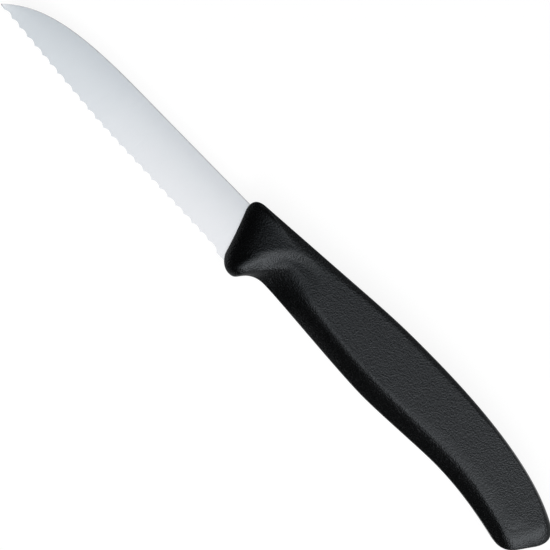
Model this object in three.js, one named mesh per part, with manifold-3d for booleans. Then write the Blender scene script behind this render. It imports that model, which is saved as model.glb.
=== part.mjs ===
// Serrated paring knife: a stamped steel blade whose hidden tang is keyed into a one-piece moulded handle.
// Millimetres. In the drawing frame X runs from the blade's tip to the butt, Y = 0 is the straight back of
// the blade with the edge on -Y, and Z = 0 halves the blade's thickness. The finished knife lies on its
// right cheek, on Z = 0, with its box centred on X and Y.
import * as THREE from 'three';
import { mergeVertices } from 'three/addons/utils/BufferGeometryUtils.js';
import Module from 'manifold-3d';

const { degToRad, lerp, mapLinear, smoothstep } = THREE.MathUtils;

// Blade
const BLADE_LENGTH = 80; // tip to the handle's front, at half the heel's height
const HEEL_HEIGHT = 14.2; // back to the unground edge beside the handle
const BLADE_THICKNESS = 1.2; // at the back, and over the whole tang
const EDGE_THICKNESS = 0.35;
const TIP_THICKNESS = 0.6; // of the back, at the tip
const TIP_BLUNT = 0.2; // height of the blunted point
const TIP_RISE = 0.31; // tip above the line of the tooth points
const BACK_CURVE = 38; // tip to the start of the straight back
const BACK_TIP_REACH = 7.3; // how far the curve keeps its 45 degrees behind the tip
const BACK_REAR_REACH = 20; // how far the curve stays near the straight back
const BACK_CHAMFER = 0.2;
const BACK_STEPS = 28;

// Toothed edge: the tooth points follow two straight runs that blend at the bend
const EDGE_BEND = 38; // tip to the bend
const EDGE_BEND_SOFTNESS = 3;
const EDGE_FRONT_SLOPE = 0.081;
const EDGE_REAR_SLOPE = 0.025;
const FIRST_TOOTH = 1.5; // tip to the first tooth
const HEEL_TOOTH = 0.4; // handle's front datum to the last tooth
const HEEL_STEP = 0.5; // unground heel below the run of the tooth points
const SCALLOP_PITCH = 2.89;
const SCALLOP_DEPTH = 0.56;
const HEEL_SCALLOP_DEPTH = 0.68; // the last, wider scallop
const TOOTH_FLAT = 0.03; // height worn off each point
const FLUTE_ANGLE = degToRad(14); // grinding wheel to the blade's face
const FLUTE_RELIEF = 0.9; // height of the wheel's arc that is used
const FLUTE_REACH = 9; // half the length of the wheel's stroke
const FLUTE_BACKING = 3; // wheel body behind its arc
const FLUTE_STEPS = 18;

// Tang
const TANG_HEIGHT = 7;
const TANG_END_HEIGHT = 5.5;
const TANG_LENGTH = 58; // shoulder to the tang's end
const TANG_ROOT = 1; // tang plate that runs into the blade
const KEY_HOLE_RADIUS = 1.6;
const KEY_HOLE_FIRST = 16; // shoulder to the first hole
const KEY_HOLE_SPACING = 24;
const KEY_HOLE_COUNT = 2;
const HOLE_STEPS = 16;
const MOULD_GAP = 0.3; // steel to plastic

// Handle outline. Heights and depths are from the line of the back. A reach is how far a curve keeps the
// direction that it has at its end.
const HANDLE_LENGTH = 108.7; // front datum to the butt's upper corner before it is rounded
const FRONT_SLANT = degToRad(19.6);
const FRONT_HOLLOW = 0.15; // bow of the front edge towards the butt
const FRONT_CORNER = 4.2; // setback of the rounded top front corner
const FRONT_TOP = 2.26; // height of the top line at the front datum
const TOP_ANGLE = degToRad(4.43);
const CROWN_HEIGHT = 5.72;
const CROWN_FROM_BUTT = 52.7;
const CROWN_RISE = 22; // end of the straight top line to the crown
const CROWN_FRONT_REACH = 9;
const CROWN_REAR_REACH = 16;
const BUTT_DROP = 4.6; // depth of the butt's upper corner
const BUTT_SLANT = degToRad(34.7);
const BUTT_ROUND = 5.4; // setback of the rounded upper corner
const BUTT_TOP_ANGLE = degToRad(28);
const BUTT_TOP_REACH = 13.6;
const TAIL_DEPTH = 15.75; // depth of the tail's corner before it is rounded
const TAIL_ANGLE = degToRad(12.7);
const TAIL_ROUND = 3.9; // setback of the rounded tail
const TAIL_REACH = 6.9;
const HOLLOW_DEPTH = 12.14;
const HOLLOW_FROM_BUTT = 34.2;
const HOLLOW_FRONT_REACH = 5.6;
const HOLLOW_REAR_REACH = 8.5;
const BELLY_DEPTH = 13.28;
const BELLY_TO_HOLLOW = 24.5;
const BELLY_FRONT_REACH = 8.8;
const BELLY_REAR_REACH = 6.5;
const GROOVE_DEPTH = 11.32;
const GROOVE_FROM_FRONT = 14;
const GROOVE_FRONT_REACH = 2.2;
const GROOVE_REAR_REACH = 5.8;
const GUARD_FROM_FRONT = 6; // also the place of the blade's shoulder
const GUARD_OVERHANG = 1.4; // guard's lowest point below the heel
const GUARD_REACH = 1.8;
const GUARD_ROUND = 3.2; // height of the rounded lower front corner
const GUARD_REAR_RUN = 3; // guard's lowest point to the middle of its rear slope
const GUARD_REAR_RISE = 2.1;
const GUARD_REAR_ANGLE = degToRad(51);

// Handle cheeks: where the flat of each cheek lies inside the rim
const HANDLE_THICKNESS = 12.4;
const GROOVE_FLANK = 8.6;
const GROOVE_FLANK_LAG = 2.2; // where the flat's lower edge turns down, behind the finger groove
const GROOVE_FLANK_ANGLE = degToRad(17);
const BELLY_FLANK = 5.5;
const HOLLOW_FLANK = 4.8;
const TAIL_FLANK = 4.7;
const TAIL_BAND = 3.1; // the flat's corner ahead of the tail's corner
const TAIL_FLAT_FRONT = 3.8; // setbacks of the flat's rounded corners
const TAIL_FLAT_REAR = 1.6;
const BUTT_FLAT_ROUND = 2.8;
const BUTT_BAND = 5.4;
const BUTT_BAND_RISE = 1.5;
const TOP_BAND = 1.6;
const TOP_FRONT_BAND = 3;
const CHEEK_LEAD = 4.4; // lower front corner of the flat, ahead of that turn
const CHEEK_LEAD_RISE = 0.1;
const CHEEK_TOP_LAG = 1; // upper front corner of the flat, behind the finger groove
const CHEEK_NOSE_SHARE = 0.3; // of the flat's slanted front end, what faces the rounded nose
const CHEEK_GUARD_SHARE = 0.2; // of the flat's lower front end, what faces the guard's front
const CHEEK_HEEL_SHARE = 0.5; // and the whole guard

// Section of the skin from the rim to the flat: half the thickness of the rim or the height of its bevel,
// the fullness of the curve, where 0.5 is a parabola, and how far the start of the curve leans inward
const LIP_PLASTIC = 1.3; // plastic on each side of the blade at the front face
const GUARD_WALL = 3.2;
const GUARD_REAR_WALL = 3.7;
const GROOVE_WALL = 2.4;
const BELLY_WALL = 3.2;
const HOLLOW_WALL = 3.6;
const TAIL_WALL = 3.8;
const HOOK_BEVEL = 1;
const BUTT_BEVEL = 1.2;
const TOP_BEVEL = 0.5;
const NOSE_BEVEL = 0.5;
const EVEN_RHO = 0.5;
const FRONT_RHO = 0.48;
const GUARD_RHO = 0.62;
const EVEN_LEAN = 0.5;
const FLANK_LEAN = 0.75;
const GROOVE_LEAN = 0.62;
const FRONT_LEAN = 0.25;
const GUARD_LEAN = 0.2;
const EDGE_ROUND = 0.6; // radius along the rim
const EDGE_STEPS = 2;
const SECTION_STEPS = 8;

// Finger scoop: a shallow round recess above the finger groove that runs out along the cheek
const SCOOP_LAG = 6; // its centre behind the groove
const SCOOP_DIP = 0.7; // and below it
const SCOOP_RADIUS = 13.6;
const SCOOP_DEPTH = 0.5;
const SCOOP_LEVEL = 3; // depth below the back from where the recess gets deeper
const SCOOP_FALL = 0.13; // how much deeper for each millimetre down
const SCOOP_SLOPE = 2.8; // width of the slope under its crest
const SCOOP_SPREAD = 0.35; // how much wider for each millimetre down
const SCOOP_RUNOUT = 12; // length of its run-out behind the groove
const PLANE_BOW = 1.5; // bow of the front end of the cheek's plane part
const PLANE_SOFTNESS = 6;
const PLANE_PULL = 0.2; // how far the plane part draws in towards the middle of the handle
const PLANE_END_PULL = 0.03; // and its ends
const PLANE_STEPS = 7;

const FRONT = BLADE_LENGTH;
const SHOULDER = FRONT + GUARD_FROM_FRONT;
const HEEL = FRONT + HEEL_TOOTH;
const LIP_WALL = BLADE_THICKNESS / 2 + MOULD_GAP + LIP_PLASTIC;
const FRONT_STRETCHES = 5;

const wasm = await Module();
wasm.setup();

function solidOf(geometry) {
  const bare = geometry.clone();
  bare.deleteAttribute('normal');
  bare.deleteAttribute('uv');
  const merged = mergeVertices(bare, 1e-5);
  return new wasm.Manifold(new wasm.Mesh({
    numProp: 3,
    vertProperties: new Float32Array(merged.attributes.position.array),
    triVerts: new Uint32Array(merged.index.array),
  }));
}

function geometryOf(solid) {
  const { vertProperties, triVerts } = solid.getMesh();
  const geometry = new THREE.BufferGeometry();
  geometry.setAttribute('position', new THREE.BufferAttribute(vertProperties, 3));
  geometry.setIndex(new THREE.BufferAttribute(triVerts, 1));
  geometry.computeVertexNormals();
  return geometry;
}

// Closed skin over rings of equally many points. Seen from the last ring, each ring runs anticlockwise.
// The end rings are flat, and flatten gives their points in two dimensions.
function loft(rings, flatten) {
  const count = rings[0].length;
  const last = (rings.length - 1) * count;
  const index = [];
  for (let ring = 0; ring < last; ring += count) {
    for (let i = 0; i < count; i += 1) {
      const a = ring + i;
      const b = ring + ((i + 1) % count);
      index.push(a, b, b + count, a, b + count, a + count);
    }
  }
  for (const [a, b, c] of THREE.ShapeUtils.triangulateShape(rings[0].map(flatten), [])) {
    index.push(a, c, b);
  }
  for (const [a, b, c] of THREE.ShapeUtils.triangulateShape(rings.at(-1).map(flatten), [])) {
    index.push(last + a, last + b, last + c);
  }
  const positions = rings.flat().flatMap((point) => point.toArray());
  const geometry = new THREE.BufferGeometry();
  geometry.setAttribute('position', new THREE.Float32BufferAttribute(positions, 3));
  geometry.setIndex(index);
  return geometry;
}

// Points in the drawing plane
const at = (fromFront, height) => new THREE.Vector2(FRONT + fromFront, height);
const moved = (point, dx, dy) => new THREE.Vector2(point.x + dx, point.y + dy);
const turned = (point, angle, reach) => moved(point, reach * Math.cos(angle), reach * Math.sin(angle));
const topAt = (fromFront) => at(fromFront, FRONT_TOP + fromFront * Math.tan(TOP_ANGLE));
const frontAt = (height) => at(-(height + HEEL_HEIGHT / 2) * Math.tan(FRONT_SLANT), height);
const neckMiddle = () => (topAt(GROOVE_FROM_FRONT).y - GROOVE_DEPTH) / 2;

// Blade

function toothLine(x) {
  const past = x - EDGE_BEND;
  const mean = (EDGE_FRONT_SLOPE + EDGE_REAR_SLOPE) / 2;
  const half = (EDGE_FRONT_SLOPE - EDGE_REAR_SLOPE) / 2;
  const bend = HEEL_STEP - HEEL_HEIGHT + EDGE_REAR_SLOPE * (HEEL - EDGE_BEND);
  return bend - mean * past + half * Math.hypot(past, EDGE_BEND_SOFTNESS);
}

// Tooth points: a regular pattern from the tip, with the odd remainder in the scallop at the heel
function toothPoints() {
  const scallops = Math.floor((HEEL - FIRST_TOOTH) / SCALLOP_PITCH);
  const points = [];
  for (let i = 0; i < scallops; i += 1) {
    const x = FIRST_TOOTH + i * SCALLOP_PITCH;
    points.push(new THREE.Vector2(x, toothLine(x)));
  }
  points.push(new THREE.Vector2(HEEL, -HEEL_HEIGHT));
  return points;
}

const teeth = toothPoints();

// Stations along the blank: where the back and the unground edge stand at each X
function blankStations() {
  const tip = new THREE.Vector2(0, toothLine(0) + TIP_RISE);
  const back = new THREE.CubicBezierCurve(
    moved(tip, 0, TIP_BLUNT / 2),
    moved(tip, BACK_TIP_REACH, BACK_TIP_REACH),
    new THREE.Vector2(BACK_CURVE - BACK_REAR_REACH, 0),
    new THREE.Vector2(BACK_CURVE, 0),
  );
  const lastRegular = teeth.at(-2);
  const straight = [(BACK_CURVE + lastRegular.x) / 2, lastRegular.x, HEEL, SHOULDER];
  const points = [...back.getPoints(BACK_STEPS), ...straight.map((x) => new THREE.Vector2(x, 0))];
  return points.map(({ x, y }) => {
    let edge = toothLine(x) + TOOTH_FLAT;
    if (x < FIRST_TOOTH) {
      edge = mapLinear(x, 0, FIRST_TOOTH, tip.y - TIP_BLUNT / 2, teeth[0].y + TOOTH_FLAT);
    } else if (x > lastRegular.x) {
      edge = mapLinear(Math.min(x, HEEL), lastRegular.x, HEEL, lastRegular.y + TOOTH_FLAT, -HEEL_HEIGHT);
    }
    return { x, back: y, edge };
  });
}

// The tang is centred in the neck of the handle, at the finger groove
function tangShape(grow) {
  const start = SHOULDER - TANG_ROOT;
  const end = SHOULDER + TANG_LENGTH + grow;
  const middle = neckMiddle();
  const rootHalf = TANG_HEIGHT / 2 + grow;
  const endHalf = TANG_END_HEIGHT / 2 + grow;
  const shape = new THREE.Shape();
  shape.moveTo(start, middle - rootHalf);
  shape.lineTo(end - endHalf, middle - endHalf);
  shape.absarc(end - endHalf, middle, endHalf, -Math.PI / 2, Math.PI / 2);
  shape.lineTo(start, middle + rootHalf);
  for (let i = 0; i < KEY_HOLE_COUNT; i += 1) {
    const hole = new THREE.Path();
    const x = SHOULDER + KEY_HOLE_FIRST + i * KEY_HOLE_SPACING;
    hole.absarc(x, middle, KEY_HOLE_RADIUS - grow, 0, 2 * Math.PI);
    shape.holes.push(hole);
  }
  return shape;
}

// Blade and tang before the teeth are ground, with every face moved out by grow
function blank(grow) {
  const rings = blankStations().map(({ x, back, edge }) => {
    const backHalf = lerp(TIP_THICKNESS, BLADE_THICKNESS, Math.min(x / BACK_CURVE, 1)) / 2 + grow;
    const edgeHalf = EDGE_THICKNESS / 2 + grow;
    const top = back + grow;
    const low = edge - grow;
    const chamfer = Math.min(BACK_CHAMFER, (top - low) / 2);
    return [
      new THREE.Vector3(x, low, -edgeHalf),
      new THREE.Vector3(x, top - chamfer, -backHalf),
      new THREE.Vector3(x, top, -backHalf + chamfer),
      new THREE.Vector3(x, top, backHalf - chamfer),
      new THREE.Vector3(x, top - chamfer, backHalf),
      new THREE.Vector3(x, low, edgeHalf),
    ];
  });
  const blade = loft(rings, ({ y, z }) => new THREE.Vector2(y, z));
  const depth = BLADE_THICKNESS + 2 * grow;
  const tang = new THREE.ExtrudeGeometry(tangShape(grow), {
    depth, bevelEnabled: false, curveSegments: HOLE_STEPS,
  });
  tang.translate(0, 0, -depth / 2);
  return solidOf(blade).add(solidOf(tang));
}

// Body that a wheel takes away between two tooth points. The wheel's arc meets the left face in a scallop
// of the given depth and runs out of the right face.
function flute(from, to, depth) {
  const along = new THREE.Vector3(to.x - from.x, to.y - from.y, 0);
  const halfChord = along.length() / 2;
  along.normalize();
  const sunk = depth * Math.sin(FLUTE_ANGLE);
  const radius = (halfChord ** 2 + sunk ** 2) / (2 * sunk);
  const half = Math.acos(1 - FLUTE_RELIEF / radius);
  const side = radius * Math.sin(half);
  const section = new THREE.Shape();
  section.absarc(0, -radius, radius, Math.PI / 2 - half, Math.PI / 2 + half);
  section.lineTo(-side, -FLUTE_RELIEF - FLUTE_BACKING);
  section.lineTo(side, -FLUTE_RELIEF - FLUTE_BACKING);
  const wheel = new THREE.ExtrudeGeometry(section, {
    depth: 2 * FLUTE_REACH, bevelEnabled: false, curveSegments: FLUTE_STEPS,
  });
  wheel.translate(0, 0, -FLUTE_REACH);
  const inward = new THREE.Vector3(-along.y, along.x, 0);
  const facing = inward.clone().multiplyScalar(Math.sin(FLUTE_ANGLE));
  facing.z = Math.cos(FLUTE_ANGLE);
  const stroke = new THREE.Vector3().crossVectors(along, facing);
  const valley = new THREE.Vector3((from.x + to.x) / 2, (from.y + to.y) / 2, EDGE_THICKNESS / 2);
  valley.addScaledVector(inward, depth);
  wheel.applyMatrix4(new THREE.Matrix4().makeBasis(along, facing, stroke).setPosition(valley));
  return solidOf(wheel);
}

function makeBlade() {
  let solid = blank(0);
  for (let i = 0; i + 1 < teeth.length; i += 1) {
    const atHeel = i + 2 === teeth.length;
    solid = solid.subtract(flute(teeth[i], teeth[i + 1], atHeel ? HEEL_SCALLOP_DEPTH : SCALLOP_DEPTH));
  }
  return geometryOf(solid);
}

// Handle

// Smooth curve that leaves one point at an angle and arrives at another at an angle
function sweep(from, angleFrom, reachFrom, to, angleTo, reachTo) {
  const most = from.distanceTo(to) / 2;
  return new THREE.CubicBezierCurve(
    from,
    turned(from, angleFrom, Math.min(reachFrom, most)),
    turned(to, angleTo + Math.PI, Math.min(reachTo, most)),
    to,
  );
}

const line = (from, to) => new THREE.LineCurve(from, to);
const corner = (from, sharp, to) => new THREE.QuadraticBezierCurve(from, sharp, to);
const towards = (from, to, reach) => turned(from, to.clone().sub(from).angle(), reach);

// Rim of the handle as seen from the side, and the flat of the cheek inside it. Both go anticlockwise from
// the finger groove in matching stretches. Each stretch has its number of steps and the section at its end.
// The last five stretches go round the front.
function handleStretches() {
  const groove = at(GROOVE_FROM_FRONT, -GROOVE_DEPTH);
  const hollow = at(HANDLE_LENGTH - HOLLOW_FROM_BUTT, -HOLLOW_DEPTH);
  const belly = new THREE.Vector2(hollow.x - BELLY_TO_HOLLOW, -BELLY_DEPTH);
  const butt = at(HANDLE_LENGTH, -BUTT_DROP);
  const tailRise = TAIL_DEPTH - BUTT_DROP;
  const tail = moved(butt, -tailRise * Math.tan(BUTT_SLANT), -tailRise);
  const tailStart = turned(tail, Math.PI - TAIL_ANGLE, TAIL_ROUND);
  const tailEnd = turned(tail, Math.PI / 2 - BUTT_SLANT, TAIL_ROUND);
  const buttStart = turned(butt, -Math.PI / 2 - BUTT_SLANT, BUTT_ROUND);
  const buttEnd = turned(butt, Math.PI - BUTT_TOP_ANGLE, BUTT_ROUND);
  const crown = at(HANDLE_LENGTH - CROWN_FROM_BUTT, CROWN_HEIGHT);
  const topRear = topAt(HANDLE_LENGTH - CROWN_FROM_BUTT - CROWN_RISE);
  const nose = topAt(-(FRONT_TOP + HEEL_HEIGHT / 2) * Math.tan(FRONT_SLANT));
  const noseTop = turned(nose, TOP_ANGLE, FRONT_CORNER);
  const noseFront = turned(nose, FRONT_SLANT - Math.PI / 2, FRONT_CORNER);
  const guard = at(GUARD_FROM_FRONT, -HEEL_HEIGHT - GUARD_OVERHANG);
  const guardFront = frontAt(guard.y + GUARD_ROUND);
  const guardRear = moved(guard, GUARD_REAR_RUN, GUARD_REAR_RISE);
  const frontMiddle = noseFront.clone().lerp(guardFront, 0.5);
  const frontBow = moved(frontMiddle, 2 * FRONT_HOLLOW, 0);

  const grooveFlat = moved(groove, GROOVE_FLANK_LAG, GROOVE_FLANK);
  const bellyFlat = moved(belly, 0, BELLY_FLANK);
  const hollowFlat = moved(hollow, 0, HOLLOW_FLANK);
  const tailFlat = moved(tail, -TAIL_BAND, TAIL_FLANK);
  const tailStartFlat = turned(tailFlat, Math.PI - TAIL_ANGLE, TAIL_FLAT_FRONT);
  const buttFlat = moved(butt, -BUTT_BAND, BUTT_BAND_RISE);
  const tailEndFlat = towards(tailFlat, buttFlat, TAIL_FLAT_REAR);
  const buttStartFlat = towards(buttFlat, tailFlat, BUTT_FLAT_ROUND);
  const buttEndFlat = turned(buttFlat, Math.PI - BUTT_TOP_ANGLE, BUTT_FLAT_ROUND);
  const crownFlat = moved(crown, 0, -TOP_BAND);
  const topRearFlat = moved(topRear, 0, -TOP_BAND);
  const topFrontFlat = moved(topAt(GROOVE_FROM_FRONT + CHEEK_TOP_LAG), 0, -TOP_FRONT_BAND);
  const frontFlat = moved(grooveFlat, -CHEEK_LEAD, CHEEK_LEAD_RISE);
  const noseFlat = topFrontFlat.clone().lerp(frontFlat, CHEEK_NOSE_SHARE);
  const guardFlat = frontFlat.clone().lerp(grooveFlat, CHEEK_GUARD_SHARE);
  const heelFlat = frontFlat.clone().lerp(grooveFlat, CHEEK_HEEL_SHARE);

  const back = Math.PI;
  const half = HANDLE_THICKNESS / 2;
  const bellySide = { wall: BELLY_WALL, rho: EVEN_RHO, lean: FLANK_LEAN };
  const hollowSide = { wall: HOLLOW_WALL, rho: EVEN_RHO, lean: FLANK_LEAN };
  const tailSide = { wall: TAIL_WALL, rho: EVEN_RHO, lean: FLANK_LEAN };
  const hook = { wall: half - HOOK_BEVEL, rho: EVEN_RHO, lean: EVEN_LEAN };
  const buttEdge = { wall: half - BUTT_BEVEL, rho: EVEN_RHO, lean: EVEN_LEAN };
  const topEdge = { wall: half - TOP_BEVEL, rho: EVEN_RHO, lean: EVEN_LEAN };
  const noseEdge = { wall: half - NOSE_BEVEL, rho: EVEN_RHO, lean: EVEN_LEAN };
  const lip = { wall: LIP_WALL, rho: FRONT_RHO, lean: FRONT_LEAN };
  const guardEdge = { wall: GUARD_WALL, rho: GUARD_RHO, lean: GUARD_LEAN };
  const guardBack = { wall: GUARD_REAR_WALL, rho: EVEN_RHO, lean: GUARD_LEAN };
  const grooveSide = { wall: GROOVE_WALL, rho: EVEN_RHO, lean: GROOVE_LEAN };
  return [
    {
      rim: sweep(groove, 0, GROOVE_REAR_REACH, belly, 0, BELLY_FRONT_REACH),
      flat: sweep(grooveFlat, -GROOVE_FLANK_ANGLE, GROOVE_REAR_REACH, bellyFlat, 0, 2 * BELLY_FRONT_REACH),
      steps: 16,
      end: bellySide,
    },
    {
      rim: sweep(belly, 0, BELLY_REAR_REACH, hollow, 0, HOLLOW_FRONT_REACH),
      flat: sweep(bellyFlat, 0, BELLY_REAR_REACH, hollowFlat, 0, HOLLOW_FRONT_REACH),
      steps: 8,
      end: hollowSide,
    },
    {
      rim: sweep(hollow, 0, HOLLOW_REAR_REACH, tailStart, -TAIL_ANGLE, TAIL_REACH),
      flat: sweep(hollowFlat, 0, HOLLOW_REAR_REACH, tailStartFlat, -TAIL_ANGLE, TAIL_REACH),
      steps: 10,
      end: tailSide,
    },
    {
      rim: corner(tailStart, tail, tailEnd),
      flat: corner(tailStartFlat, tailFlat, tailEndFlat),
      steps: 8,
      end: hook,
    },
    { rim: line(tailEnd, buttStart), flat: line(tailEndFlat, buttStartFlat), steps: 3, end: buttEdge },
    {
      rim: corner(buttStart, butt, buttEnd),
      flat: corner(buttStartFlat, buttFlat, buttEndFlat),
      steps: 9,
      end: buttEdge,
    },
    {
      rim: sweep(buttEnd, back - BUTT_TOP_ANGLE, BUTT_TOP_REACH, crown, back, CROWN_REAR_REACH),
      flat: sweep(buttEndFlat, back - BUTT_TOP_ANGLE, BUTT_TOP_REACH, crownFlat, back, CROWN_REAR_REACH),
      steps: 16,
      end: topEdge,
    },
    {
      rim: sweep(crown, back, CROWN_FRONT_REACH, topRear, back + TOP_ANGLE, CROWN_FRONT_REACH),
      flat: sweep(crownFlat, back, CROWN_FRONT_REACH, topRearFlat, back + TOP_ANGLE, CROWN_FRONT_REACH),
      steps: 8,
      end: topEdge,
    },
    { rim: line(topRear, noseTop), flat: line(topRearFlat, topFrontFlat), steps: 14, end: noseEdge },
    { rim: corner(noseTop, nose, noseFront), flat: line(topFrontFlat, noseFlat), steps: 8, end: lip },
    { rim: corner(noseFront, frontBow, guardFront), flat: line(noseFlat, frontFlat), steps: 9, end: lip },
    {
      rim: sweep(guardFront, FRONT_SLANT - Math.PI / 2, GUARD_REACH, guard, 0, GUARD_REACH),
      flat: line(frontFlat, guardFlat),
      steps: 9,
      end: guardEdge,
    },
    {
      rim: sweep(guard, 0, GUARD_REACH, guardRear, GUARD_REAR_ANGLE, GUARD_REACH),
      flat: line(guardFlat, heelFlat),
      steps: 6,
      end: guardBack,
    },
    {
      rim: sweep(guardRear, GUARD_REAR_ANGLE, GUARD_REACH, groove, 0, GROOVE_FRONT_REACH),
      flat: line(heelFlat, grooveFlat),
      steps: 8,
      end: grooveSide,
    },
  ];
}

// Lines of the skin, each from the rim over the edge of the flat to the plane part of the cheek behind the
// scoop, with the section that it follows
function skinLines() {
  const stretches = handleStretches();
  const lines = stretches.flatMap(({ rim, flat, steps, end }, i) => {
    const start = stretches.at(i - 1).end;
    const outer = rim.getSpacedPoints(steps);
    const inner = flat.getSpacedPoints(steps);
    return outer.slice(0, steps).map((point, step) => {
      const blend = smoothstep(step / steps, 0, 1);
      return {
        rim: point,
        flat: inner[step],
        plane: planePoint(inner[step]),
        wall: lerp(start.wall, end.wall, blend),
        rho: lerp(start.rho, end.rho, blend),
        lean: lerp(start.lean, end.lean, blend),
      };
    });
  });
  spreadFront(lines, stretches);
  return lines;
}

// Where a line of the skin that comes from a point of the flat's edge reaches the plane part
function planePoint(flat) {
  const past = flat.x - FRONT - GROOVE_FROM_FRONT - SCOOP_RUNOUT - PLANE_BOW;
  const x = flat.x + (Math.hypot(past, PLANE_SOFTNESS) - past) / 2;
  const drawn = lerp(x, FRONT + HANDLE_LENGTH / 2, PLANE_END_PULL);
  return new THREE.Vector2(drawn, lerp(flat.y, neckMiddle(), PLANE_PULL));
}

// The lines from the nose round the guard to the finger groove share a bowed front end of the plane part
function spreadFront(lines, stretches) {
  const count = stretches.slice(-FRONT_STRETCHES).reduce((sum, { steps }) => sum + steps, 0);
  const front = lines.slice(-count);
  const upper = front[0].plane;
  const lower = lines[0].plane;
  front.forEach((line, i) => {
    const share = i / count;
    const bow = 4 * PLANE_BOW * share * (1 - share);
    line.plane = moved(upper.clone().lerp(lower, share), -bow, 0);
  });
}

function scoopDepth(x, y) {
  const groove = FRONT + GROOVE_FROM_FRONT;
  const inside = SCOOP_RADIUS - Math.hypot(x - groove - SCOOP_LAG, y + GROOVE_DEPTH + SCOOP_DIP);
  const low = Math.max(-SCOOP_LEVEL - y, 0);
  const left = 1 - smoothstep(x, groove, groove + SCOOP_RUNOUT);
  const slope = smoothstep(inside, 0, SCOOP_SLOPE + SCOOP_SPREAD * low);
  return (SCOOP_DEPTH + SCOOP_FALL * low) * left * slope;
}

// Way from the rim to the edge of the flat, as distances inward and up: a small round, then a conic
function section(width, rise, rho, lean) {
  const peak = lean * width;
  const tilt = Math.atan2(rise, peak);
  const start = EDGE_ROUND * (1 - Math.sin(tilt));
  const low = start * Math.tan(tilt);
  const way = [];
  for (let step = 0; step < EDGE_STEPS; step += 1) {
    const turn = (Math.PI / 2 - tilt) * (step / EDGE_STEPS);
    way.push({
      inward: EDGE_ROUND * (1 - Math.cos(turn)),
      up: low + EDGE_ROUND * (Math.sin(turn) - Math.cos(tilt)),
    });
  }
  for (let step = 0; step <= SECTION_STEPS; step += 1) {
    const t = step / SECTION_STEPS;
    const first = (1 - t) ** 2;
    const second = (2 * rho * t * (1 - t)) / (1 - rho);
    const third = t ** 2;
    const sum = first + second + third;
    way.push({
      inward: (first * start + second * peak + third * width) / sum,
      up: (first * low + (second + third) * rise) / sum,
    });
  }
  return way;
}

function linePoints({ rim, flat, plane, wall, rho, lean }) {
  const half = HANDLE_THICKNESS / 2;
  const width = rim.distanceTo(flat);
  const rise = half - wall;
  const points = section(width, rise, rho, lean).map(({ inward, up }) => {
    const { x, y } = rim.clone().lerp(flat, inward / width);
    const sunk = (scoopDepth(x, y) * Math.max(up, 0)) / rise;
    return new THREE.Vector3(x, y, wall + up - sunk);
  });
  for (let step = 1; step <= PLANE_STEPS; step += 1) {
    const { x, y } = flat.clone().lerp(plane, (step / PLANE_STEPS) ** 2);
    points.push(new THREE.Vector3(x, y, half - scoopDepth(x, y)));
  }
  return points;
}

function makeHandle() {
  const lines = skinLines().map(linePoints);
  const left = lines[0].map((_, i) => lines.map((points) => points[i]));
  const right = left.map((ring) => ring.map(({ x, y, z }) => new THREE.Vector3(x, y, -z))).reverse();
  const body = loft([...right, ...left], ({ x, y }) => new THREE.Vector2(x, y));
  return geometryOf(solidOf(body).subtract(blank(MOULD_GAP)));
}

// Assembly

const steel = new THREE.MeshStandardMaterial({ color: 0xcdd3d8, roughness: 0.35, metalness: 1 });
const plastic = new THREE.MeshStandardMaterial({ color: 0x1b1c1d, roughness: 0.6, metalness: 0 });

const blade = new THREE.Mesh(makeBlade(), steel);
blade.name = 'blade';

const handle = new THREE.Mesh(makeHandle(), plastic);
handle.name = 'handle';

const knife = new THREE.Group();
knife.add(blade, handle);
const box = new THREE.Box3().setFromObject(knife);
const middle = box.getCenter(new THREE.Vector3());
knife.position.set(-middle.x, -middle.y, -box.min.z);

export default knife;
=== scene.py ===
"""Serrated paring knife, dressed: satin steel blade and grained black handle on a white studio table."""
import math

import bmesh
import bpy
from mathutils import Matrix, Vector


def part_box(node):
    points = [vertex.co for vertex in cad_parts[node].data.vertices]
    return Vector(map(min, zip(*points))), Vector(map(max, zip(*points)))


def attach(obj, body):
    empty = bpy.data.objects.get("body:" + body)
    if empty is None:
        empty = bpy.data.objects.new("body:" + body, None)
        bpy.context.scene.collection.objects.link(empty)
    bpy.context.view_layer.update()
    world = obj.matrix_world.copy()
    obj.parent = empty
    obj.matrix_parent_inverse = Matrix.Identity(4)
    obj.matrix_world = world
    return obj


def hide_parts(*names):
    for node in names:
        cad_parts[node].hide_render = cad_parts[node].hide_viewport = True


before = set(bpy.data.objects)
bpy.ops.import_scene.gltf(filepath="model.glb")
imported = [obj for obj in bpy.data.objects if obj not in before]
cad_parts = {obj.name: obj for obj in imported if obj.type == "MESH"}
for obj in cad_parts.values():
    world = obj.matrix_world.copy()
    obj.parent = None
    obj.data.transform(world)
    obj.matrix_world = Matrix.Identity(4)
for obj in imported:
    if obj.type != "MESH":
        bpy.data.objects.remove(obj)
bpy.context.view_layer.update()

# All sizes are in millimetres in the drawing frame of the part: X from the tip to the butt, Y = 0 on the
# straight back with the edge on -Y, Z = 0 halfway through the blade.
MM = 0.001
WELD = 1e-7  # metres: points closer than this become one
SLIVER = 1e-8
BLADE_LOW, BLADE_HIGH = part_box("blade")
ORIGIN = Vector((BLADE_LOW.x, BLADE_HIGH.y, (BLADE_LOW.z + BLADE_HIGH.z) / 2))

# Blade
BLADE_LENGTH = 80
HEEL_HEIGHT = 14.2
BLADE_THICKNESS = 1.2
EDGE_THICKNESS = 0.35
TIP_THICKNESS = 0.6
TIP_BLUNT = 0.2
TIP_RISE = 0.31
BACK_CURVE = 38
BACK_TIP_REACH = 7.3
BACK_REAR_REACH = 20
BACK_CHAMFER = 0.2
GRIND_CROWN = 0.8  # 0 is a straight wedge from back to edge, 1 a face that is parallel at the back
FACE_STEPS = 7
LEAST_FACE = 0.05  # height of face that a flute leaves under the back
BLADE_SHARP = 20  # degrees: edges that turn more are shaded sharp

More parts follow.
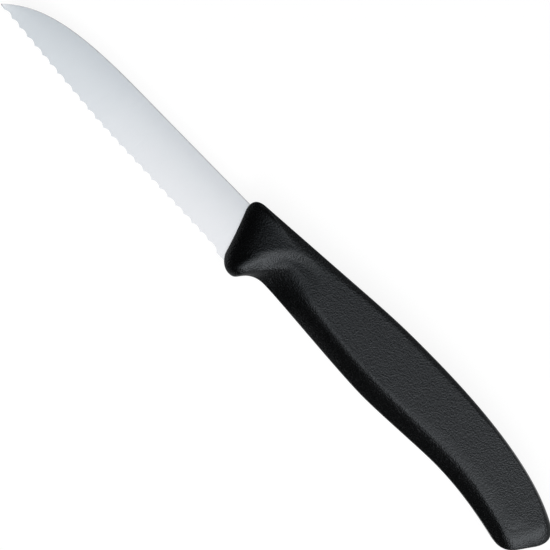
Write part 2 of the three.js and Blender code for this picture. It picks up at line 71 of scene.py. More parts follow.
# Toothed edge
EDGE_BEND = 38
EDGE_BEND_SOFTNESS = 3
EDGE_FRONT_SLOPE = 0.081
EDGE_REAR_SLOPE = 0.025
FIRST_TOOTH = 1.5
HEEL_TOOTH = 0.4
HEEL_STEP = 0.5
SCALLOP_PITCH = 2.89
SCALLOP_DEPTH = 0.56
HEEL_SCALLOP_DEPTH = 0.68
TOOTH_FLAT = 0.03
FLUTE_ANGLE = math.radians(14)
FLUTE_RELIEF = 0.9
SCALLOP_STEPS = 14
TIP_STEPS = 8
BACK_HALVINGS = 40
FLUTE_ROUNDS = 4
RISE_ROUNDS = 6

# Tang
TANG_HEIGHT = 7
TANG_END_HEIGHT = 5.5
TANG_LENGTH = 58
TANG_SHOULDER = 0.4  # run of the slope from the blade to the tang
TANG_END_TURN = 0.97 * math.pi / 2  # of the rounded end, which stops short of a point

# Handle outline
HANDLE_LENGTH = 108.7
FRONT_SLANT = math.radians(19.6)
FRONT_HOLLOW = 0.15
FRONT_CORNER = 4.2
FRONT_TOP = 2.26
TOP_ANGLE = math.radians(4.43)
CROWN_HEIGHT = 5.72
CROWN_FROM_BUTT = 52.7
CROWN_RISE = 22
CROWN_FRONT_REACH = 9
CROWN_REAR_REACH = 16
BUTT_DROP = 4.6
BUTT_SLANT = math.radians(34.7)
BUTT_ROUND = 5.4
BUTT_TOP_ANGLE = math.radians(28)
BUTT_TOP_REACH = 13.6
TAIL_DEPTH = 15.75
TAIL_ANGLE = math.radians(12.7)
TAIL_ROUND = 3.9
TAIL_REACH = 6.9
HOLLOW_DEPTH = 12.14
HOLLOW_FROM_BUTT = 34.2
HOLLOW_FRONT_REACH = 5.6
HOLLOW_REAR_REACH = 8.5
BELLY_DEPTH = 13.28
BELLY_TO_HOLLOW = 24.5
BELLY_FRONT_REACH = 8.8
BELLY_REAR_REACH = 6.5
GROOVE_DEPTH = 11.32
GROOVE_FROM_FRONT = 14
GROOVE_FRONT_REACH = 2.2
GROOVE_REAR_REACH = 5.8
GUARD_FROM_FRONT = 6
GUARD_OVERHANG = 1.4
GUARD_REACH = 1.8
GUARD_ROUND = 3.2
GUARD_REAR_RUN = 3
GUARD_REAR_RISE = 2.1
GUARD_REAR_ANGLE = math.radians(51)

# Handle cheeks
HANDLE_THICKNESS = 12.4
GROOVE_FLANK = 8.6
GROOVE_FLANK_LAG = 2.2
GROOVE_FLANK_ANGLE = math.radians(17)
BELLY_FLANK = 5.5
HOLLOW_FLANK = 4.8
TAIL_FLANK = 4.7
TAIL_BAND = 3.1
TAIL_FLAT_ROUND = 3.8
BUTT_BAND = 5.4
BUTT_BAND_RISE = 1.5
BUTT_FLAT_ROUND = 2.8
TOP_BAND = 1.6
TOP_FRONT_BAND = 3
CHEEK_LEAD = 4.4
CHEEK_LEAD_RISE = 0.1
CHEEK_TOP_LAG = 1
LIP_WALL = 2.2
GUARD_WALL = 3.2
GUARD_REAR_WALL = 3.7
GROOVE_WALL = 2.4
BELLY_WALL = 3.2
HOLLOW_WALL = 3.6
TAIL_START_WALL = 3.8
TAIL_WALL = 5.2
BUTT_WALL = 5
TOP_WALL = 5.7
NOSE_WALL = 5.7
TOP_RHO = 0.5
TOP_LEAN = 0.5
BUTT_RHO = 0.5
BUTT_LEAN = 0.5
FLANK_RHO = 0.5
FLANK_LEAN = 0.75
GROOVE_LEAN = 0.62
FRONT_RHO = 0.48
FRONT_LEAN = 0.25
GUARD_RHO = 0.62
GUARD_LEAN = 0.2
GUARD_REAR_RHO = 0.5
HOLLOW_CROWN = 0.12  # how far the lower rim of the cheek is rounded off
TAIL_CROWN = 0.22
HOOK_CROWN = 0.16
CROWN_WIDTH = 4
TAIL_FLAT_SHARE = 0.17  # the flat's corners on the line from tail to butt, from each end
BUTT_FLAT_SHARE = 0.3
CHEEK_NOSE_SHARE = 0.3  # the flat's front corners on the lines between their neighbours
CHEEK_GUARD_SHARE = 0.2
CHEEK_HEEL_SHARE = 0.5
HANDLE_SHARP = 60
EDGE_ROUND = 0.6
EDGE_STEPS = 5
SECTION_STEPS = 22
RIM_REFINE = 4  # steps along the rim for each step of the solid

# Finger scoop: a shallow recess round the finger groove that runs out along the cheek
SCOOP_LAG = 6  # its centre behind the groove
SCOOP_DIP = 0.7  # and below it
SCOOP_RADIUS = 13.6
SCOOP_LEVEL = 3  # below the back: from there down the recess gets deeper
SCOOP_DEPTH = 0.5
SCOOP_FALL = 0.13
SCOOP_WIDTH = 2.8  # width of the slope under the crest
SCOOP_SPREAD = 0.35
SCOOP_FADE = (14, 26)  # from the front: where the recess begins and ends to run out
CORE_FRONT = 27.5  # front of the plane part of the cheek
CORE_SOFTNESS = 6
CORE_PULL = 0.2  # how far it draws in towards the middle of the handle
CORE_END_PULL = 0.03  # and its ends
CORE_BOW = 1.5
CORE_STEPS = 24
FRONT_STRETCHES = 5  # the last stretches of the rim, from the nose to the finger groove

# Surfaces: noise scales are per metre, reliefs in metres
STEEL_COLOUR = (0.577, 0.577, 0.592, 1)
STEEL_ROUGHNESS = (0.2, 0.3)
GRIND_LINES = (9000, 160, 900)  # the grind runs across the blade
GRIND_DETAIL = 3.0
GRIND_BREAKUP = 0.6
GRIND_STRENGTH = 0.04
GRIND_RELIEF = 0.00002
PLASTIC_COLOUR = (0.0014, 0.0015, 0.0016, 1)
PLASTIC_SPECULAR = 0.35
PLASTIC_TINT = (0.89, 0.945, 1, 1)
PLASTIC_ROUGHNESS = (0.22, 0.32)
GRAIN_SCALE = 2800.0
GRAIN_DETAIL = 1.0
GRAIN_BREAKUP = 0.5
GRAIN_STRENGTH = 1.0
GRAIN_RELIEF = 0.00009
PAPER_COLOUR = (0.18, 0.18, 0.18, 1)
PAPER_ROUGHNESS = 0.9

# Camera: straight down on the left cheek
VIEW_CENTRE = (94.28, -7.79)
VIEW_WIDTH = 134.64
VIEW_TURN = math.radians(45.6)
LENS = 180
SENSOR = 36

# Studio, in metres in the part's frame
WHITE_GLOW = 0.9  # of the table and cards, to the camera and in what the knife mirrors
WALL_GLOW = 0.35  # of the back wall in what the knife mirrors
WORLD_STRENGTH = 0.03
TABLE_REACH = 4.0
STUDIO_LEFT = -3.0
STUDIO_RIGHT = 1.5
STUDIO_NEAR = -1.6
STUDIO_FAR = 1.5
WALL_SPLIT = 0.35  # X where the dim wall gives way to a white card
WALL_HEIGHT = 3.0
CARD_HEIGHT = 1.4
NEUTRAL = (1, 1, 1)
LAMP_HEIGHT = 1.0
PANELS = (  # name, X from and to, Y from and to, radiance, colour
    ("sky", -0.34, -0.15, -0.7, 0.08, 1.42, (0.88, 0.96, 1)),
    ("overhead", -0.15, 0.9, -0.7, 0.03, 1.56, NEUTRAL),
    ("sky_strip", -0.15, 0.02, 0.03, 0.1, 0.55, (0.35, 0.75, 1)),
    ("side", 0.12, 0.98, -0.7, 0.24, 1.4, NEUTRAL),
)
KEY_RIGHT = 0.2  # place of the key lamp in the picture, from the middle of the knife
KEY_BELOW = 0.62
KEY_SIZE = (0.9, 0.5)
KEY_RADIANCE = 3.2
# Upright panels that light the steel alone, so the black handle keeps its dark flank and front
STEEL_PANELS = (("edge_panel", 0, -1.5), ("tip_panel", -1.5, 0))  # name, X, Y
STEEL_PANEL_HEIGHT = 0.8
STEEL_PANEL_SIZE = (3.0, 1.6)
STEEL_PANEL_RADIANCE = 0.55

FRONT = BLADE_LENGTH
SHOULDER = FRONT + GUARD_FROM_FRONT
HEEL = FRONT + HEEL_TOOTH


def lerp(a, b, t):
    return a + (b - a) * t


def smooth(t):
    return t * t * (3 - 2 * t)


def place(x, y, z):
    """A point of the drawing, in metres in the part's frame."""
    return ORIGIN + Vector((x, y, z)) * MM


def new_piece(name, points, faces, material, replaced, sharp_angle):
    """Object of the dressed part that stands in for a node of the frame."""
    mesh = bpy.data.meshes.new(name)
    mesh.from_pydata([place(*p) for p in points], [], faces)
    tidy = bmesh.new()
    tidy.from_mesh(mesh)
    bmesh.ops.remove_doubles(tidy, verts=tidy.verts, dist=WELD)
    bmesh.ops.dissolve_degenerate(tidy, edges=tidy.edges, dist=SLIVER)
    bmesh.ops.recalc_face_normals(tidy, faces=tidy.faces)
    tidy.to_mesh(mesh)
    tidy.free()
    mesh.shade_smooth()
    mesh.set_sharp_from_angle(angle=math.radians(sharp_angle))
    mesh.materials.append(material)
    piece = bpy.data.objects.new(name, mesh)
    bpy.context.scene.collection.objects.link(piece)
    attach(piece, "root")
    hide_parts(replaced)
    return piece


def skin(rings):
    """Points and faces of a closed skin over rings of equally many points."""
    count = len(rings[0])
    points = [p for ring in rings for p in ring]
    faces = []
    for first in range(0, len(points) - count, count):
        for i in range(count):
            j = (i + 1) % count
            faces.append((first + i, first + j, first + count + j, first + count + i))
    faces.append(tuple(range(count)))
    faces.append(tuple(range(len(points) - count, len(points))))
    return points, faces


# Curves

class Curve:
    """Bezier curve through flat points, read at equal steps of its length."""

    SAMPLES = 200

    def __init__(self, *points):
        self.points = [Vector(p) for p in points]

    def at(self, t):
        points = self.points
        while len(points) > 1:
            points = [a.lerp(b, t) for a, b in zip(points, points[1:])]
        return points[0]

    def spaced(self, steps):
        dense = [self.at(i / self.SAMPLES) for i in range(self.SAMPLES + 1)]
        lengths = [0.0]
        for a, b in zip(dense, dense[1:]):
            lengths.append(lengths[-1] + (b - a).length)
        found = []
        i = 0
        for step in range(steps + 1):
            want = lengths[-1] * step / steps
            while i < self.SAMPLES - 1 and lengths[i + 1] < want:
                i += 1
            part = (want - lengths[i]) / max(lengths[i + 1] - lengths[i], 1e-9)
            found.append(self.at((i + min(part, 1)) / self.SAMPLES))
        return found


def moved(point, dx, dy):
    return Vector((point.x + dx, point.y + dy))


def turned(point, angle, reach):
    return moved(point, reach * math.cos(angle), reach * math.sin(angle))


def sweep(a, angle_a, reach_a, b, angle_b, reach_b):
    most = (b - a).length / 2
    lead = turned(a, angle_a, min(reach_a, most))
    tail = turned(b, angle_b + math.pi, min(reach_b, most))
    return Curve(a, lead, tail, b)


def spot(from_front, height):
    return Vector((FRONT + from_front, height))


def top_at(from_front):
    return spot(from_front, FRONT_TOP + from_front * math.tan(TOP_ANGLE))


def front_at(height):
    return spot(-(height + HEEL_HEIGHT / 2) * math.tan(FRONT_SLANT), height)


# Blade

def tooth_line(x):
    past = x - EDGE_BEND
    mean = (EDGE_FRONT_SLOPE + EDGE_REAR_SLOPE) / 2
    half = (EDGE_FRONT_SLOPE - EDGE_REAR_SLOPE) / 2
    bend = HEEL_STEP - HEEL_HEIGHT + EDGE_REAR_SLOPE * (HEEL - EDGE_BEND)
    return bend - mean * past + half * math.hypot(past, EDGE_BEND_SOFTNESS)


SCALLOPS = math.floor((HEEL - FIRST_TOOTH) / SCALLOP_PITCH)
TEETH = [Vector((x, tooth_line(x))) for x in (FIRST_TOOTH + i * SCALLOP_PITCH for i in range(SCALLOPS))]
TEETH.append(Vector((HEEL, -HEEL_HEIGHT)))
TIP = Vector((0, tooth_line(0) + TIP_RISE))
BACK = Curve(
    moved(TIP, 0, TIP_BLUNT / 2),
    moved(TIP, BACK_TIP_REACH, BACK_TIP_REACH),
    (BACK_CURVE - BACK_REAR_REACH, 0),
    (BACK_CURVE, 0),
)


def back_at(x):
    if x >= BACK_CURVE:
        return 0.0
    low, high = 0.0, 1.0
    for _ in range(BACK_HALVINGS):
        t = (low + high) / 2
        if BACK.at(t).x < x:
            low = t
        else:
            high = t
    return BACK.at(low).y


def blank_edge(x):
    """Lower edge before the scallops are ground."""
    last = TEETH[-2]
    if x < FIRST_TOOTH:
        return lerp(TIP.y - TIP_BLUNT / 2, TEETH[0].y + TOOTH_FLAT, x / FIRST_TOOTH)
    if x > last.x:
        return lerp(last.y + TOOTH_FLAT, -HEEL_HEIGHT, min((x - last.x) / (HEEL - last.x), 1))
    return tooth_line(x) + TOOTH_FLAT


class Flute:
    """Scallop that a tilted wheel grinds between two tooth points."""

    def __init__(self, a, b, depth):
        chord = b - a
        self.half = chord.length / 2
        self.along = chord.normalized()
        self.middle = (a + b) / 2
        self.depth = depth
        sunk = depth * math.sin(FLUTE_ANGLE)
        self.radius = (self.half ** 2 + sunk ** 2) / (2 * sunk)
        self.most = self.radius * math.sin(math.acos(1 - FLUTE_RELIEF / self.radius))

    def height(self, x, z):
        """Y of the ground surface at X and Z, or None outside the wheel's width."""
        lift = 0.0
        u = 0.0
        for _ in range(FLUTE_ROUNDS):
            u = (x - self.middle.x + lift * self.along.y) / self.along.x
            if abs(u) > self.most:
                return None
            drop = self.radius - math.sqrt(self.radius ** 2 - u ** 2)
            behind = (EDGE_THICKNESS / 2 - z) / math.tan(FLUTE_ANGLE)
            lift = self.depth - drop / math.sin(FLUTE_ANGLE) + behind
        return self.middle.y + u * self.along.y + lift * self.along.x


FLUTES = [
    Flute(a, b, HEEL_SCALLOP_DEPTH if b is TEETH[-1] else SCALLOP_DEPTH)
    for a, b in zip(TEETH, TEETH[1:])
]


def ground_edge(x, z):
    """Lowest Y left by the wheel at X and Z."""
    cuts = [f.height(x, z) for f in FLUTES if abs(x - f.middle.x) < 2 * SCALLOP_PITCH]
    return max([blank_edge(x)] + [c for c in cuts if c is not None])


def blade_ring(x):
    back = back_at(x)
    low = blank_edge(x)
    back_half = lerp(TIP_THICKNESS, BLADE_THICKNESS, min(x / BACK_CURVE, 1)) / 2
    edge_half = EDGE_THICKNESS / 2
    chamfer = min(BACK_CHAMFER, (back - low) / 3, back_half / 2)
    shoulder = back - chamfer

    def half_at(y):
        s = (y - low) / (shoulder - low)
        return lerp(edge_half, back_half, lerp(s, s * (2 - s), GRIND_CROWN))

    edge = ground_edge(x, edge_half)
    rise = edge
    for _ in range(RISE_ROUNDS):
        rise = ground_edge(x, -half_at(min(rise, shoulder)))
    rise = min(rise, shoulder - LEAST_FACE)
    middle = min(ground_edge(x, 0), rise)
    ring = [(x, middle, 0.0)]
    for i in range(FACE_STEPS + 1):
        y = lerp(rise, shoulder, i / FACE_STEPS)
        ring.append((x, y, -half_at(y)))
    ring.append((x, back, -back_half + chamfer))
    ring.append((x, back, back_half - chamfer))
    for i in range(FACE_STEPS + 1):
        y = lerp(shoulder, edge, i / FACE_STEPS)
        ring.append((x, y, half_at(y)))
    return ring


def tang_ring(x, middle, half):
    """Section of the tang with as many points as a blade section."""
    z = BLADE_THICKNESS / 2
    low, high = middle - half, middle + half
    ring = [(x, low, 0.0)]
    ring += [(x, lerp(low, high, i / FACE_STEPS), -z) for i in range(FACE_STEPS + 1)]
    ring += [(x, high, -z / 3), (x, high, z / 3)]
    ring += [(x, lerp(high, low, i / FACE_STEPS), z) for i in range(FACE_STEPS + 1)]
    return ring


def make_blade(material):
    columns = [FIRST_TOOTH * i / TIP_STEPS for i in range(TIP_STEPS)]
    for a, b in zip(TEETH, TEETH[1:]):
        columns += [lerp(a.x, b.x, i / SCALLOP_STEPS) for i in range(SCALLOP_STEPS)]
    columns += [lerp(HEEL, SHOULDER, i / SCALLOP_STEPS) for i in range(SCALLOP_STEPS + 1)]
    rings = [blade_ring(x) for x in columns]
    middle = (top_at(GROOVE_FROM_FRONT).y - GROOVE_DEPTH) / 2
    end = SHOULDER + TANG_LENGTH
    round_end = TANG_END_HEIGHT / 2
    rings.append(tang_ring(SHOULDER + TANG_SHOULDER, middle, TANG_HEIGHT / 2))
    for i in range(TIP_STEPS + 1):
        turn = TANG_END_TURN * i / TIP_STEPS
        x = end - round_end + round_end * math.sin(turn)
        rings.append(tang_ring(x, middle, round_end * math.cos(turn)))
    points, faces = skin(rings)
    return new_piece("steel_blade", points, faces, material, "blade", BLADE_SHARP)


# Handle

def handle_stretches():
    """Rim and flat of the cheek in matching stretches, anticlockwise from the finger groove.

    Each is the rim, the flat, the steps along them and the section that is reached at the end.
    """
    groove = spot(GROOVE_FROM_FRONT, -GROOVE_DEPTH)
    hollow = spot(HANDLE_LENGTH - HOLLOW_FROM_BUTT, -HOLLOW_DEPTH)
    belly = Vector((hollow.x - BELLY_TO_HOLLOW, -BELLY_DEPTH))
    butt = spot(HANDLE_LENGTH, -BUTT_DROP)
    tail_rise = TAIL_DEPTH - BUTT_DROP
    tail = moved(butt, -tail_rise * math.tan(BUTT_SLANT), -tail_rise)
    tail_start = turned(tail, math.pi - TAIL_ANGLE, TAIL_ROUND)
    tail_end = turned(tail, math.pi / 2 - BUTT_SLANT, TAIL_ROUND)
    butt_start = turned(butt, -math.pi / 2 - BUTT_SLANT, BUTT_ROUND)
    butt_end = turned(butt, math.pi - BUTT_TOP_ANGLE, BUTT_ROUND)
    crown = spot(HANDLE_LENGTH - CROWN_FROM_BUTT, CROWN_HEIGHT)
    top_rear = top_at(HANDLE_LENGTH - CROWN_FROM_BUTT - CROWN_RISE)
    nose = top_at(-(FRONT_TOP + HEEL_HEIGHT / 2) * math.tan(FRONT_SLANT))
    nose_top = turned(nose, TOP_ANGLE, FRONT_CORNER)
    nose_front = turned(nose, FRONT_SLANT - math.pi / 2, FRONT_CORNER)
    guard = spot(GUARD_FROM_FRONT, -HEEL_HEIGHT - GUARD_OVERHANG)
    guard_front = front_at(guard.y + GUARD_ROUND)
    guard_rear = moved(guard, GUARD_REAR_RUN, GUARD_REAR_RISE)
    front_bow = moved(nose_front.lerp(guard_front, 0.5), 2 * FRONT_HOLLOW, 0)

    groove_flat = moved(groove, GROOVE_FLANK_LAG, GROOVE_FLANK)
    belly_flat = moved(belly, 0, BELLY_FLANK)
    hollow_flat = moved(hollow, 0, HOLLOW_FLANK)
    tail_flat = moved(tail, -TAIL_BAND, TAIL_FLANK)
    tail_start_flat = turned(tail_flat, math.pi - TAIL_ANGLE, TAIL_FLAT_ROUND)
    butt_flat = moved(butt, -BUTT_BAND, BUTT_BAND_RISE)
    tail_end_flat = tail_flat.lerp(butt_flat, TAIL_FLAT_SHARE)
    butt_start_flat = butt_flat.lerp(tail_flat, BUTT_FLAT_SHARE)
    butt_end_flat = turned(butt_flat, math.pi - BUTT_TOP_ANGLE, BUTT_FLAT_ROUND)
    crown_flat = moved(crown, 0, -TOP_BAND)
    top_rear_flat = moved(top_rear, 0, -TOP_BAND)
    top_front_flat = moved(top_at(GROOVE_FROM_FRONT + CHEEK_TOP_LAG), 0, -TOP_FRONT_BAND)
    front_flat = moved(groove_flat, -CHEEK_LEAD, CHEEK_LEAD_RISE)
    nose_flat = top_front_flat.lerp(front_flat, CHEEK_NOSE_SHARE)
    guard_flat = front_flat.lerp(groove_flat, CHEEK_GUARD_SHARE)
    heel_flat = front_flat.lerp(groove_flat, CHEEK_HEEL_SHARE)

    back = math.pi
    down = FRONT_SLANT - math.pi / 2
    turn_back = back - BUTT_TOP_ANGLE
    slope = back + TOP_ANGLE
    round_end = (BUTT_WALL, BUTT_RHO, BUTT_LEAN, 0)
    hook = (TAIL_WALL, BUTT_RHO, BUTT_LEAN, HOOK_CROWN)
    top = (TOP_WALL, TOP_RHO, TOP_LEAN, 0)
    brow = (NOSE_WALL, TOP_RHO, TOP_LEAN, 0)
    groove_side = (GROOVE_WALL, FLANK_RHO, GROOVE_LEAN, 0)
    belly_side = (BELLY_WALL, FLANK_RHO, FLANK_LEAN, 0)
    hollow_side = (HOLLOW_WALL, FLANK_RHO, FLANK_LEAN, HOLLOW_CROWN)
    tail_side = (TAIL_START_WALL, FLANK_RHO, FLANK_LEAN, TAIL_CROWN)
    lip = (LIP_WALL, FRONT_RHO, FRONT_LEAN, 0)
    rim = (GUARD_WALL, GUARD_RHO, GUARD_LEAN, 0)
    rear = (GUARD_REAR_WALL, GUARD_REAR_RHO, GUARD_LEAN, 0)
    return [
        (sweep(groove, 0, GROOVE_REAR_REACH, belly, 0, BELLY_FRONT_REACH),
         sweep(groove_flat, -GROOVE_FLANK_ANGLE, GROOVE_REAR_REACH,
               belly_flat, 0, 2 * BELLY_FRONT_REACH), 16, belly_side),
        (sweep(belly, 0, BELLY_REAR_REACH, hollow, 0, HOLLOW_FRONT_REACH),
         sweep(belly_flat, 0, BELLY_REAR_REACH, hollow_flat, 0, HOLLOW_FRONT_REACH), 8, hollow_side),
        (sweep(hollow, 0, HOLLOW_REAR_REACH, tail_start, -TAIL_ANGLE, TAIL_REACH),
         sweep(hollow_flat, 0, HOLLOW_REAR_REACH, tail_start_flat, -TAIL_ANGLE, TAIL_REACH), 10, tail_side),
        (Curve(tail_start, tail, tail_end),
         Curve(tail_start_flat, tail_flat, tail_end_flat), 8, hook),
        (Curve(tail_end, butt_start), Curve(tail_end_flat, butt_start_flat), 3, round_end),
        (Curve(butt_start, butt, butt_end),
         Curve(butt_start_flat, butt_flat, butt_end_flat), 9, round_end),
        (sweep(butt_end, turn_back, BUTT_TOP_REACH, crown, back, CROWN_REAR_REACH),
         sweep(butt_end_flat, turn_back, BUTT_TOP_REACH, crown_flat, back, CROWN_REAR_REACH), 16, top),
        (sweep(crown, back, CROWN_FRONT_REACH, top_rear, slope, CROWN_FRONT_REACH),
         sweep(crown_flat, back, CROWN_FRONT_REACH, top_rear_flat, slope, CROWN_FRONT_REACH), 8, top),
        (Curve(top_rear, nose_top), Curve(top_rear_flat, top_front_flat), 14, brow),
        (Curve(nose_top, nose, nose_front), Curve(top_front_flat, nose_flat), 8, lip),
        (Curve(nose_front, front_bow, guard_front), Curve(nose_flat, front_flat), 9, lip),
        (sweep(guard_front, down, GUARD_REACH, guard, 0, GUARD_REACH),
         Curve(front_flat, guard_flat), 9, rim),
        (sweep(guard, 0, GUARD_REACH, guard_rear, GUARD_REAR_ANGLE, GUARD_REACH),
         Curve(guard_flat, heel_flat), 6, rear),
        (sweep(guard_rear, GUARD_REAR_ANGLE, GUARD_REACH, groove, 0, GROOVE_FRONT_REACH),
         Curve(heel_flat, groove_flat), 8, groove_side),
    ]


def core_point(knee, crown):
    """Where a line of the skin reaches the plane part of the cheek."""
    past = knee.x - FRONT - CORE_FRONT
    x = knee.x + (math.hypot(past, CORE_SOFTNESS) - past) / 2
    middle = (top_at(GROOVE_FROM_FRONT).y - GROOVE_DEPTH) / 2
    x = lerp(x, FRONT + HANDLE_LENGTH / 2, CORE_END_PULL)
    y = lerp(knee.y, middle, CORE_PULL)
    return Vector((x, lerp(y, knee.y + CROWN_WIDTH, crown / TAIL_CROWN)))


def skin_lines():
    """Lines from the rim over the knee to the plane part of the cheek, each with its section."""
    stretches = handle_stretches()
    lines = []
    front = 0
    for i, (rim, flat, steps, end) in enumerate(stretches):
        start = stretches[i - 1][3]
        count = steps * RIM_REFINE
        if i == len(stretches) - FRONT_STRETCHES:
            front = len(lines)
        for step, (outer, knee) in enumerate(zip(rim.spaced(count)[:-1], flat.spaced(count))):
            blend = smooth(step / count)
            shape = [lerp(a, b, blend) for a, b in zip(start, end)]
            lines.append([outer, knee, core_point(knee, shape[3]), shape])
    first, last = lines[front][2], lines[0][2]
    for i in range(front, len(lines)):
        part = (i - front) / (len(lines) - front)
        lines[i][2] = moved(first.lerp(last, part), -4 * CORE_BOW * part * (1 - part), 0)
    return lines


def section(width, rise, rho, lean):
    """Way from the rim to the knee as pairs of distance and height: a small round, then a conic."""
    corner = lean * width
    tilt = math.atan2(rise, corner)
    start = EDGE_ROUND * (1 - math.sin(tilt))
    centre = start * math.tan(tilt) - EDGE_ROUND * math.cos(tilt)
    way = []
    for step in range(EDGE_STEPS):
        turn = (math.pi / 2 - tilt) * step / EDGE_STEPS
        way.append((EDGE_ROUND * (1 - math.cos(turn)), centre + EDGE_ROUND * math.sin(turn)))
    low = start * math.tan(tilt)
    for step in range(SECTION_STEPS + 1):
        t = step / SECTION_STEPS
        first, middle, last = (1 - t) ** 2, 2 * rho * t * (1 - t) / (1 - rho), t ** 2
        total = first + middle + last
        way.append(((first * start + middle * corner + last * width) / total,
                    (first * low + (middle + last) * rise) / total))
    return way


def scoop(x, y):
    """Depth of the finger scoop."""
    inside = SCOOP_RADIUS - math.hypot(
        x - FRONT - GROOVE_FROM_FRONT - SCOOP_LAG, y + GROOVE_DEPTH + SCOOP_DIP)
    start, end = SCOOP_FADE
    left = 1 - smooth(min(max((x - FRONT - start) / (end - start), 0), 1))
    low = max(-SCOOP_LEVEL - y, 0)
    width = SCOOP_WIDTH + SCOOP_SPREAD * low
    return (SCOOP_DEPTH + SCOOP_FALL * low) * left * smooth(min(max(inside / width, 0), 1))


def skin_line(outer, knee, core, shape):
    """Points of one line of the skin, from the rim over the knee to the plane part of the cheek."""
    wall, rho, lean, crown = shape
    half = HANDLE_THICKNESS / 2
    width = (knee - outer).length
    points = []
    for along, up in section(width, half - wall, rho, lean):
        p = outer.lerp(knee, along / width)
        dip = scoop(p.x, p.y) + crown
        points.append((p.x, p.y, wall + up - dip * max(up, 0) / (half - wall)))
    for step in range(1, CORE_STEPS + 1):
        part = step / CORE_STEPS
        p = knee.lerp(core, part)
        points.append((p.x, p.y, half - scoop(p.x, p.y) - crown * (1 - part) ** 2))
    return points


def make_handle(material):
    rings = list(zip(*(skin_line(*line) for line in skin_lines())))
    below = [[(x, y, -z) for x, y, z in ring] for ring in reversed(rings)]
    points, faces = skin(below + rings)
    return new_piece("moulded_handle", points, faces, material, "handle", HANDLE_SHARP)


# Materials

def new_material(name):
    material = bpy.data.materials.new(name)
    material.use_nodes = True
    tree = material.node_tree
    return material, tree, tree.nodes["Principled BSDF"]


def node(tree, kind, **values):
    """New node with the given properties and inputs."""
    made = tree.nodes.new(kind)
    for key, value in values.items():
        if hasattr(made, key):
            setattr(made, key, value)
        else:
            made.inputs[key.replace("_", " ").title()].default_value = value
    return made


def add_grain(tree, shader, pattern, roughness, strength, depth):
    """Let a noise pattern drive the roughness and the fine relief."""
    link = tree.links.new
    rough = node(tree, "ShaderNodeMapRange", To_Min=roughness[0], To_Max=roughness[1])
    link(pattern.outputs["Fac"], rough.inputs["Value"])
    link(rough.outputs["Result"], shader.inputs["Roughness"])
    bump = node(tree, "ShaderNodeBump", Strength=strength, Distance=depth)
    link(pattern.outputs["Fac"], bump.inputs["Height"])
    link(bump.outputs["Normal"], shader.inputs["Normal"])


def steel_material():
    material, tree, shader = new_material("satin_steel")
    shader.inputs["Base Color"].default_value = STEEL_COLOUR
    shader.inputs["Metallic"].default_value = 1.0
    spot_at = node(tree, "ShaderNodeTexCoord")
    stretch = node(tree, "ShaderNodeMapping", Scale=GRIND_LINES)
    tree.links.new(spot_at.outputs["Object"], stretch.inputs["Vector"])
    lines = node(tree, "ShaderNodeTexNoise", Scale=1.0, Detail=GRIND_DETAIL, Roughness=GRIND_BREAKUP)
    tree.links.new(stretch.outputs["Vector"], lines.inputs["Vector"])
    add_grain(tree, shader, lines, STEEL_ROUGHNESS, GRIND_STRENGTH, GRIND_RELIEF)
    return material


def plastic_material():
    material, tree, shader = new_material("grained_plastic")
    shader.inputs["Base Color"].default_value = PLASTIC_COLOUR
    shader.inputs["Specular IOR Level"].default_value = PLASTIC_SPECULAR
    shader.inputs["Specular Tint"].default_value = PLASTIC_TINT
    spot_at = node(tree, "ShaderNodeTexCoord")
    grain = node(tree, "ShaderNodeTexNoise", Scale=GRAIN_SCALE, Detail=GRAIN_DETAIL, Roughness=GRAIN_BREAKUP)
    tree.links.new(spot_at.outputs["Object"], grain.inputs["Vector"])
    add_grain(tree, shader, grain, PLASTIC_ROUGHNESS, GRAIN_STRENGTH, GRAIN_RELIEF)
    return material


def white_material(name, mirrored):
    """White to the camera, with the given brightness in what the knife mirrors."""
    material, tree, shader = new_material(name)
    link = tree.links.new
    shader.inputs["Base Color"].default_value = PAPER_COLOUR
    shader.inputs["Roughness"].default_value = PAPER_ROUGHNESS
    shader.inputs["Specular IOR Level"].default_value = 0.0
    path = node(tree, "ShaderNodeLightPath")
    mirror = node(tree, "ShaderNodeMath", operation="MAXIMUM")
    link(path.outputs["Is Glossy Ray"], mirror.inputs[0])
    link(path.outputs["Is Transmission Ray"], mirror.inputs[1])
    seen = node(tree, "ShaderNodeMath", operation="MULTIPLY")
    seen.inputs[1].default_value = WHITE_GLOW
    link(path.outputs["Is Camera Ray"], seen.inputs[0])
    glow = node(tree, "ShaderNodeMath", operation="MULTIPLY_ADD")
    glow.inputs[1].default_value = mirrored
    link(mirror.outputs[0], glow.inputs[0])
    link(seen.outputs[0], glow.inputs[2])
    shader.inputs["Emission Color"].default_value = (1, 1, 1, 1)
    link(glow.outputs[0], shader.inputs["Emission Strength"])
    return material


# Studio

def make_sheet(name, corners, material):
    mesh = bpy.data.meshes.new(name)
    mesh.from_pydata(corners, [], [(0, 1, 2, 3)])
    mesh.materials.append(material)
    sheet = bpy.data.objects.new(name, mesh)
    bpy.context.scene.collection.objects.link(sheet)


def upright(start, end, height):
    """Corners of a sheet that stands on the line from start to end."""
    return [(*start, 0), (*end, 0), (*end, height), (*start, height)]


def make_floor():
    """White table, white cards round the butt and a dimmer wall beyond the back."""
    white = white_material("white_table", WHITE_GLOW)
    dim = white_material("dim_wall", WALL_GLOW)
    reach = TABLE_REACH
    square = [(-reach, -reach, 0), (reach, -reach, 0), (reach, reach, 0), (-reach, reach, 0)]
    make_sheet("table", square, white)
    corner = (STUDIO_RIGHT, STUDIO_FAR)
    split = (WALL_SPLIT, STUDIO_FAR)
    make_sheet("end_card", upright((STUDIO_RIGHT, STUDIO_NEAR), corner, CARD_HEIGHT), white)
    make_sheet("corner_card", upright(split, corner, WALL_HEIGHT), white)
    make_sheet("back_wall", upright((STUDIO_LEFT, STUDIO_FAR), split, WALL_HEIGHT), dim)


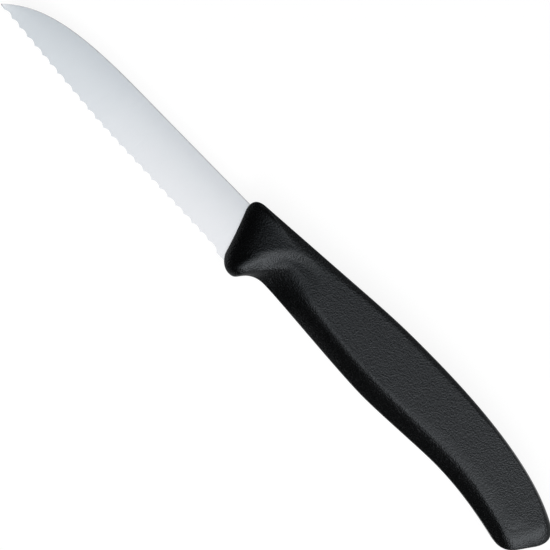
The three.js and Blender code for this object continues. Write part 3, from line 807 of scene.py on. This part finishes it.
def make_world():
    world = bpy.data.worlds.new("studio")
    world.use_nodes = True
    background = world.node_tree.nodes["Background"]
    background.inputs["Color"].default_value = (1, 1, 1, 1)
    background.inputs["Strength"].default_value = WORLD_STRENGTH
    bpy.context.scene.world = world


def softbox(name, place_at, aim, size, radiance, colour):
    lamp = bpy.data.lights.new(name, "AREA")
    lamp.shape = "RECTANGLE"
    lamp.size, lamp.size_y = size
    lamp.color = colour
    lamp.energy = radiance * math.pi * size[0] * size[1]
    made = bpy.data.objects.new(name, lamp)
    made.location = place_at
    made.rotation_mode = "QUATERNION"
    made.rotation_quaternion = (Vector(aim) - Vector(place_at)).to_track_quat("-Z", "Y")
    bpy.context.scene.collection.objects.link(made)
    return made


def make_lamps(blade):
    for name, left, right, near, far, radiance, colour in PANELS:
        x, y = (left + right) / 2, (near + far) / 2
        softbox(name, (x, y, LAMP_HEIGHT), (x, y, 0), (right - left, far - near), radiance, colour)
    view_right = Vector((math.cos(VIEW_TURN), math.sin(VIEW_TURN), 0))
    view_up = Vector((-math.sin(VIEW_TURN), math.cos(VIEW_TURN), 0))
    key_at = view_right * KEY_RIGHT - view_up * KEY_BELOW + Vector((0, 0, LAMP_HEIGHT))
    softbox("key", key_at, (0, 0, 0), KEY_SIZE, KEY_RADIANCE, NEUTRAL)
    steel_only = bpy.data.collections.new("steel_only")
    steel_only.objects.link(blade)
    for name, x, y in STEEL_PANELS:
        panel = softbox(name, (x, y, STEEL_PANEL_HEIGHT), (0, 0, STEEL_PANEL_HEIGHT),
                        STEEL_PANEL_SIZE, STEEL_PANEL_RADIANCE, NEUTRAL)
        panel.light_linking.receiver_collection = steel_only
        panel.visible_camera = False


def make_camera():
    data = bpy.data.cameras.new("camera")
    data.lens = LENS
    data.sensor_width = SENSOR
    camera = bpy.data.objects.new("camera", data)
    camera.location = place(*VIEW_CENTRE, VIEW_WIDTH * LENS / SENSOR)
    camera.rotation_euler = (0, 0, VIEW_TURN)
    bpy.context.scene.collection.objects.link(camera)
    bpy.context.scene.camera = camera


bpy.context.scene.view_settings.view_transform = "Standard"
make_camera()
steel_blade = make_blade(steel_material())
make_handle(plastic_material())
make_floor()
make_world()
make_lamps(steel_blade)
